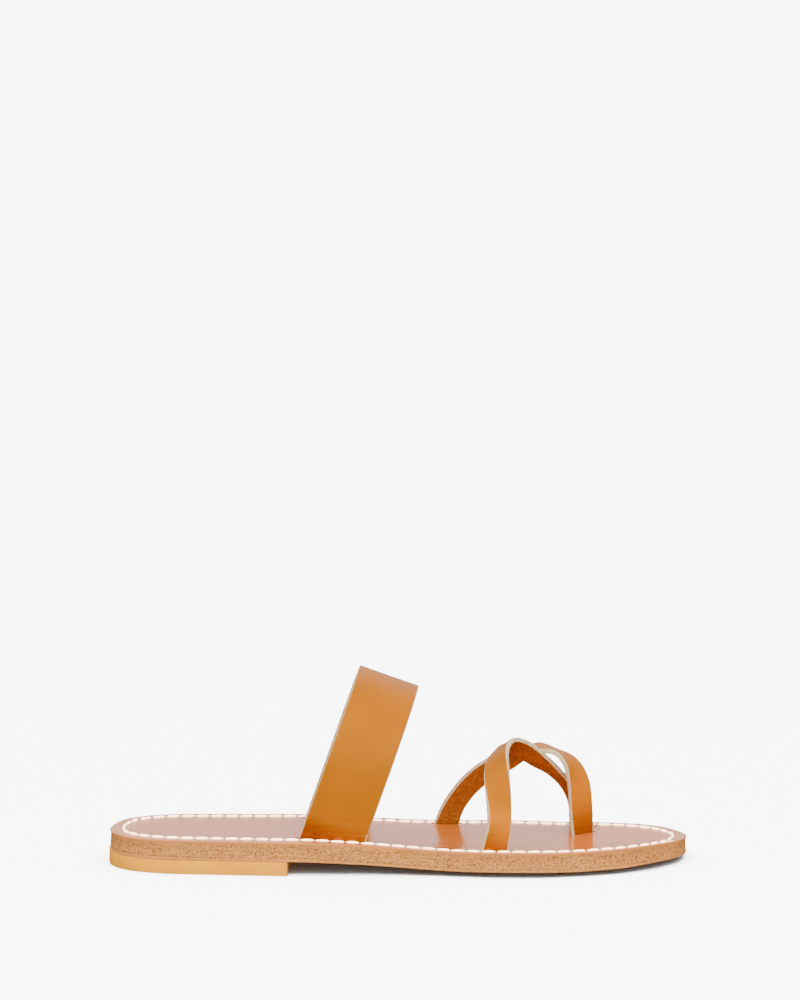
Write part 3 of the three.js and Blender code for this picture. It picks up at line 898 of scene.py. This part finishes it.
def strap_sheet(name, line, width, columns):
    """The middle surface of a strap, which ends inside its slots."""
    place, _, across, face = line
    index = np.arange(len(place))
    rows = len(place) - 2
    crowded = np.linspace(0, 1, rows)
    crowded = crowded - FOOT_CROWDING * np.sin(2 * math.pi * crowded) / (2 * math.pi)
    strips = []
    for offset in np.linspace(-width / 2, width / 2, columns):
        strip = place + across * offset
        over = strip[:, 2] - top_at(strip[:, 0], strip[:, 1]) + STRAP_END_DEPTH
        inside = np.flatnonzero(over > 0)
        low, high = inside[0], inside[-1]
        first = low - over[low] / (over[low] - over[low - 1])
        last = high + over[high] / (over[high] - over[high + 1])
        spots = first + (last - first) * crowded
        sheet = read_rows(spots, index, strip)
        out = unit(read_rows(spots, index, face))
        run = run_along(sheet)
        share = offset / width + 0.5
        pressed = (crease_depth(run - STRAP_END_DEPTH, share)
                   + crease_depth(run[-1] - run - STRAP_END_DEPTH, 1 - share))
        strips.append(sheet - out * pressed[:, None])
    piece = shaped_grid(name, rows - 1, columns - 1, np.stack(strips, axis=1))
    middle = len(place) // 2
    polygon = min(piece.data.polygons,
                  key=lambda p: (p.center / MM - Vector(place[middle])).length)
    if polygon.normal.dot(Vector(face[middle])) < 0:
        edit(piece)
        bpy.ops.mesh.flip_normals()
        bpy.ops.object.mode_set(mode="OBJECT")
    return piece


def mark_foot(piece, line, painted_lights):
    """Stores how far each point is from the nearer slot, along the strap, in metres, and the
    painted shade and painted highlight near both slots."""
    place = line[0]
    length = run_along(place)
    fine = np.linspace(0, length[-1], FINE_PLACES)
    tree = tree_of(read_rows(fine, length, place))
    run = np.array([fine[tree.find(point)[1]] for point in coordinates(piece) / MM])
    up, down = run - STRAP_TAIL, length[-1] - run - STRAP_TAIL
    store(piece, "foot", np.minimum(up, down) * MM)
    store(piece, "fade", foot_painted_light(painted_lights[0], up) * foot_painted_light(painted_lights[1], down))


def strap_piece(name, line, width, thickness, edge_round, columns, materials, painted_lights):
    """A strap with grain on its outer face, suede on its inner one and rounded cut edges."""
    piece = strap_sheet(name, line, width / MM, columns)
    for material in materials:
        piece.data.materials.append(material)
    apply_modifier(piece, "leather", "SOLIDIFY", thickness=thickness, offset=0,
                   use_even_offset=True, use_quality_normals=True, material_offset=1,
                   material_offset_rim=2)
    apply_modifier(piece, "edge", "BEVEL", width=edge_round, segments=2, material=2,
                   limit_method="ANGLE", angle_limit=math.radians(50))
    mark_foot(piece, line, painted_lights)
    smooth(piece, 50)
    return piece


def slot_cutter(line, width, thickness):
    """A thick band along a strap's line, to be taken away from the insole."""
    place, _, across, _ = line
    offsets = np.linspace(-width / 2, width / 2, 3)
    points = np.stack([place + across * offset for offset in offsets], axis=1)
    cutter = shaped_grid("slot_cutter", len(place) - 1, 2, points)
    apply_modifier(cutter, "room", "SOLIDIFY", thickness=thickness * MM, offset=0)
    return cutter


def cut_slots(piece, sizes):
    """Cuts the six slots that the straps go through, two for each strap."""
    toe_size = sizes.toe_strap_width, sizes.toe_strap_thickness
    for line, width, thickness in (
            (instep_line(CUTTER_STEPS), sizes.instep_width, sizes.strap_thickness),
            (lateral_toe_line(CUTTER_STEPS), *toe_size),
            (medial_toe_line(CUTTER_STEPS), *toe_size)):
        cutter = slot_cutter(line, width / MM + SLOT_LONGER, thickness / MM + SLOT_WIDER)
        apply_modifier(piece, "slot", "BOOLEAN", object=cutter, operation="DIFFERENCE",
                       solver="EXACT")
        bpy.data.objects.remove(cutter)


# Operators


class SANDAL_OT_insole(bpy.types.Operator):
    """Builds the insole with its slots and glazed top"""

    bl_idname = "sandal.insole"
    bl_label = "Insole"

    def execute(self, context):
        sizes, colours = context.scene.sandal_sizes, context.scene.sandal_colours
        piece = sole_layer("insole_leather_top", INSOLE_ROWS)
        cut_slots(piece, sizes)
        depth = mark_depth(piece)
        mark_stitch_run(piece, sizes)
        smooth(piece, 30)
        finish_piece(piece, [insole_glaze(colours.insole, sizes), sole_side(colours.sole_edge)],
                     ["insole"])
        for polygon in piece.data.polygons:
            deepest = max(depth[v] for v in polygon.vertices)
            glazed = deepest < GLAZE_DEPTH and polygon.normal.z > 0
            polygon.material_index = 0 if glazed else 1
        return {"FINISHED"}


class SANDAL_OT_lower_layers(bpy.types.Operator):
    """Builds the midsole and the outsole"""

    bl_idname = "sandal.lower_layers"
    bl_label = "Midsole and outsole"

    def execute(self, context):
        side = bpy.data.materials["sole_side"]
        under = sole_bottom(context.scene.sandal_colours.sole_edge)
        for name, depths, slot, node in (
                ("midsole_leather_layer", MIDSOLE_ROWS, "midsole_leather", "midsole"),
                ("outsole_leather_layer", OUTSOLE_ROWS, "outsole_leather", "outsole")):
            piece = sole_layer(name, depths)
            depth = mark_depth(piece)
            smooth(piece, 30)
            finish_piece(piece, [side, under], [node])
            for polygon in piece.data.polygons:
                deep = min(depth[v] for v in polygon.vertices) > SOLE_STACK - UNDERSIDE_MARGIN
                polygon.material_index = 1 if deep and polygon.normal.z < FACES_DOWN else 0
        return {"FINISHED"}


class SANDAL_OT_heel_lift(bpy.types.Operator):
    """Builds the rubber lift under the heel"""

    bl_idname = "sandal.heel_lift"
    bl_label = "Heel lift"

    def execute(self, context):
        along = even_stations(LIFT_STATIONS, LIFT_LENGTH / SOLE_LENGTH)
        shares = np.linspace(0, 1, LIFT_COLUMNS + 1)
        points = np.stack([sole_point(along, np.full_like(along, share), -LIFT_PROUD, 0.0)
                           for share in shares], axis=1)
        points[:, :, 2] = 0
        piece = shaped_grid("heel_lift_rubber", LIFT_STATIONS - 1, LIFT_COLUMNS, points)
        edit(piece)
        height = (HEEL_SEAT_HEIGHT - SOLE_STACK - LIFT_GAP) * MM
        bpy.ops.mesh.extrude_region_move(TRANSFORM_OT_translate={"value": (0, 0, height)})
        leave_edit()
        self.round_edges(piece)
        smooth(piece, 40)
        rubber = lift_rubber(context.scene.sandal_colours.rubber)
        finish_piece(piece, [rubber], ["heel_lift"])
        return {"FINISHED"}

    def round_edges(self, piece):
        """Rounds the two upright corners at the front, then every sharp edge a little."""
        front = (LIFT_LENGTH / SOLE_LENGTH - 0.5) * SOLE_LENGTH - CORNER_MARGIN
        points = coordinates(piece) / MM
        weights = piece.data.attributes.new("bevel_weight_edge", "FLOAT", "EDGE")
        for edge in piece.data.edges:
            (x, y, z), (other_x, _, other_z) = points[list(edge.vertices)]
            upright = abs(z - other_z) > UPRIGHT_RISE
            at_corner = min(x, other_x) > front and abs(y) > CORNER_FROM_MIDDLE
            weights.data[edge.index].value = 1.0 if upright and at_corner else 0.0
        apply_modifier(piece, "corner", "BEVEL", width=LIFT_CORNER * MM, segments=6,
                       limit_method="WEIGHT")
        apply_modifier(piece, "edge", "BEVEL", width=LIFT_EDGE_ROUND * MM, segments=3,
                       limit_method="ANGLE", angle_limit=math.radians(60))


class SANDAL_OT_instep_strap(bpy.types.Operator):
    """Builds the wide strap over the instep"""

    bl_idname = "sandal.instep_strap"
    bl_label = "Instep strap"

    def execute(self, context):
        sizes, colours = context.scene.sandal_sizes, context.scene.sandal_colours
        finishes = [strap_grain(colours.grain), strap_suede(colours.suede),
                    strap_cut(colours.cut_edge)]
        piece = strap_piece("instep_strap_leather", instep_line(INSTEP_STEPS),
                            sizes.instep_width, sizes.strap_thickness, sizes.edge_round,
                            INSTEP_COLUMNS, finishes, (INSTEP_LATERAL_PAINTED_LIGHT, HIDDEN_FOOT_PAINTED_SHADE))
        finish_piece(piece, [], ["instep_strap"])
        return {"FINISHED"}


class SANDAL_OT_toe_straps(bpy.types.Operator):
    """Builds the two straps that cross over the toes"""

    bl_idname = "sandal.toe_straps"
    bl_label = "Toe straps"

    def execute(self, context):
        sizes = context.scene.sandal_sizes
        finishes = [bpy.data.materials[name]
                    for name in ("strap_grain", "strap_suede", "strap_cut_edge")]
        for name, line, painted_lights in (
                ("toe_strap_lateral", lateral_toe_line(TOE_STEPS),
                 (TOE_LATERAL_PAINTED_LIGHT, HIDDEN_FOOT_PAINTED_SHADE)),
                ("toe_strap_medial", medial_toe_line(TOE_STEPS),
                 (HIDDEN_FOOT_PAINTED_SHADE, TOE_SLOT_PAINTED_LIGHT))):
            piece = strap_piece(name, line, sizes.toe_strap_width, sizes.toe_strap_thickness,
                                sizes.edge_round, TOE_COLUMNS, finishes, painted_lights)
            finish_piece(piece, [], ["toe_straps"])
        return {"FINISHED"}


class SANDAL_OT_stitches(bpy.types.Operator):
    """Sews the row of stitches round the insole"""

    bl_idname = "sandal.stitches"
    bl_label = "Stitches"

    def execute(self, context):
        sizes, colours = context.scene.sandal_sizes, context.scene.sandal_colours
        closed, length = stitch_path(sizes.stitch_inset / MM)
        count = stitch_count(sizes, length)
        first = self.one_stitch(sizes)
        chance = random.Random(STITCH_SEED)
        copies = []
        for i in range(count):
            run = (i + 0.5) * length[-1] / count
            copy = first.copy()
            copy.data = first.data.copy()
            context.scene.collection.objects.link(copy)
            copy.matrix_world = self.sewn_place(closed, length, run, chance)
            copies.append(copy)
        bpy.data.objects.remove(first)
        deselect()
        for copy in copies:
            copy.select_set(True)
        context.view_layer.objects.active = copies[0]
        bpy.ops.object.join()
        piece = named("insole_stitches")
        bpy.ops.object.transform_apply(location=True, rotation=True, scale=True)
        smooth(piece, 60)
        finish_piece(piece, [waxed_thread(colours.thread)])
        return {"FINISHED"}

    def sewn_place(self, closed, length, run, chance):
        """Where a stitch lies, slanted to the row and following the rise of the insole."""

        def at(step):
            return read_rows(np.mod(run + step, length[-1]), length, closed)

        before, here, after = at(-STITCH_SPAN), at(0), at(STITCH_SPAN)
        way = at(1) - at(-1)
        rise = math.atan2(top_at(*after) - top_at(*before), 2 * STITCH_SPAN)
        slant = STITCH_SLANT + chance.uniform(-SLANT_PLAY, SLANT_PLAY)
        turn = math.atan2(way[1], way[0]) + math.radians(slant)
        longer, thicker = chance.uniform(*LENGTH_PLAY), chance.uniform(*THICKNESS_PLAY)
        return (Matrix.Translation(Vector((*here, top_at(*here))) * MM)
                @ Matrix.Rotation(turn, 4, "Z") @ Matrix.Rotation(-rise, 4, "Y")
                @ Matrix.Diagonal((longer, thicker, 1, 1)))

    def one_stitch(self, sizes):
        """A thread that rises out of one hole and dips into the next."""
        deselect()
        bpy.ops.mesh.primitive_uv_sphere_add(segments=12, ring_count=18, radius=0.5)
        piece = named("stitch")
        points = coordinates(piece)
        t = points[:, 2] * 2
        girth = np.sqrt(np.clip(1 - t**2, 1e-6, 1))
        full = np.clip(1 - np.abs(t)**2.2, 0, 1)**0.7
        side, up = points[:, 0] / girth, points[:, 1] / girth
        width, long = sizes.thread_width, sizes.stitch_length
        set_coordinates(piece, np.stack([
            t * long / 2,
            side * full * width,
            up * full * width * THREAD_FLATNESS + width * (THREAD_RISE - THREAD_DIP * t**4),
        ], axis=1))
        store(piece, "tip", np.abs(t))
        edit(piece)
        leave_edit()
        return piece


class SANDAL_OT_stage(bpy.types.Operator):
    """Sets the floor, the soft lights and the camera"""

    bl_idname = "sandal.stage"
    bl_label = "Stage"

    def execute(self, context):
        colours = context.scene.sandal_colours
        deselect()
        bpy.ops.mesh.primitive_circle_add(vertices=96, radius=FLOOR_RADIUS, fill_type="NGON")
        floor = named("floor")
        floor.data.materials.append(floor_paper(colours.floor))
        bpy.ops.mesh.primitive_uv_sphere_add(segments=96, ring_count=48,
                                             radius=BACKDROP_RADIUS)
        backdrop = named("backdrop")
        backdrop.data.materials.append(backdrop_glow(colours.backdrop))
        for piece in (floor, backdrop):
            piece.visible_diffuse = piece.visible_glossy = False
        backdrop.visible_shadow = False
        self.room_light(context)
        self.floor_light(floor)
        for soft_box in SOFT_BOXES:
            self.add_soft_box(soft_box)
        bpy.ops.object.camera_add(location=CAMERA_PLACE,
                                  rotation=(math.radians(90 - CAMERA_DOWN), 0, 0))
        camera = named("camera")
        for key, value in CAMERA.items():
            setattr(camera.data, key, value)
        context.scene.camera = camera
        return {"FINISHED"}

    def room_light(self, context):
        """Even white light, weaker from below."""
        world = bpy.data.worlds.new("soft_room")
        world.use_nodes = True
        tree = world.node_tree
        direction, height, strength = (tree.nodes.new("ShaderNode" + kind) for kind in (
            "TexCoord", "SeparateXYZ", "MapRange"))
        for name, value in ROOM_LIGHT.items():
            strength.inputs[name].default_value = value
        tree.links.new(direction.outputs["Generated"], height.inputs[0])
        tree.links.new(height.outputs["Z"], strength.inputs["Value"])
        tree.links.new(strength.outputs[0], tree.nodes["Background"].inputs["Strength"])
        tree.nodes["Background"].inputs["Color"].default_value = (1, 1, 1, 1)
        context.scene.world = world

    def floor_light(self, floor):
        """A wide sun that lights the floor alone, so that it stays near white."""
        bpy.ops.object.light_add(type="SUN", rotation=[math.radians(turn) for turn in SUN_TILT])
        sun = named("floor_sun")
        sun.data.energy = SUN_STRENGTH
        sun.data.angle = math.radians(SUN_WIDTH)
        lit = bpy.data.collections.new("lit_by_floor_sun")
        lit.objects.link(floor)
        sun.light_linking.receiver_collection = lit

    def add_soft_box(self, soft_box):
        """A square lamp that faces the shoe."""
        bpy.ops.object.light_add(type="AREA", location=soft_box.place)
        lamp = named(soft_box.name)
        lamp.data.shape = "SQUARE"
        lamp.data.size = soft_box.size
        lamp.data.energy = soft_box.power
        aim = Vector(LAMPS_AIM) - Vector(soft_box.place)
        lamp.rotation_euler = aim.to_track_quat("-Z", "Y").to_euler()


class SANDAL_PT_sidebar(bpy.types.Panel):
    """Lists the pieces of the sandal"""

    bl_label = "Sandal"
    bl_idname = "SANDAL_PT_sidebar"
    bl_space_type = "VIEW_3D"
    bl_region_type = "UI"
    bl_category = "Sandal"

    def draw(self, context):
        for group in (context.scene.sandal_sizes, context.scene.sandal_colours):
            box = self.layout.box()
            for name in group.__annotations__:
                box.prop(group, name)
        for operator in OPERATORS:
            self.layout.operator(operator.bl_idname)


OPERATORS = (SANDAL_OT_insole, SANDAL_OT_lower_layers, SANDAL_OT_heel_lift,
             SANDAL_OT_instep_strap, SANDAL_OT_toe_straps, SANDAL_OT_stitches,
             SANDAL_OT_stage)
CLASSES = (SandalSizes, SandalColours, *OPERATORS, SANDAL_PT_sidebar)


def register():
    for made in CLASSES:
        bpy.utils.register_class(made)
    bpy.types.Scene.sandal_sizes = bpy.props.PointerProperty(type=SandalSizes)
    bpy.types.Scene.sandal_colours = bpy.props.PointerProperty(type=SandalColours)


def unregister():
    del bpy.types.Scene.sandal_colours
    del bpy.types.Scene.sandal_sizes
    for made in reversed(CLASSES):
        bpy.utils.unregister_class(made)


def main():
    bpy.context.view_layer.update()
    register()
    bpy.ops.sandal.insole()
    bpy.ops.sandal.lower_layers()
    bpy.ops.sandal.heel_lift()
    bpy.ops.sandal.instep_strap()
    bpy.ops.sandal.toe_straps()
    bpy.ops.sandal.stitches()
    bpy.ops.sandal.stage()


if __name__ == "__main__":
    main()
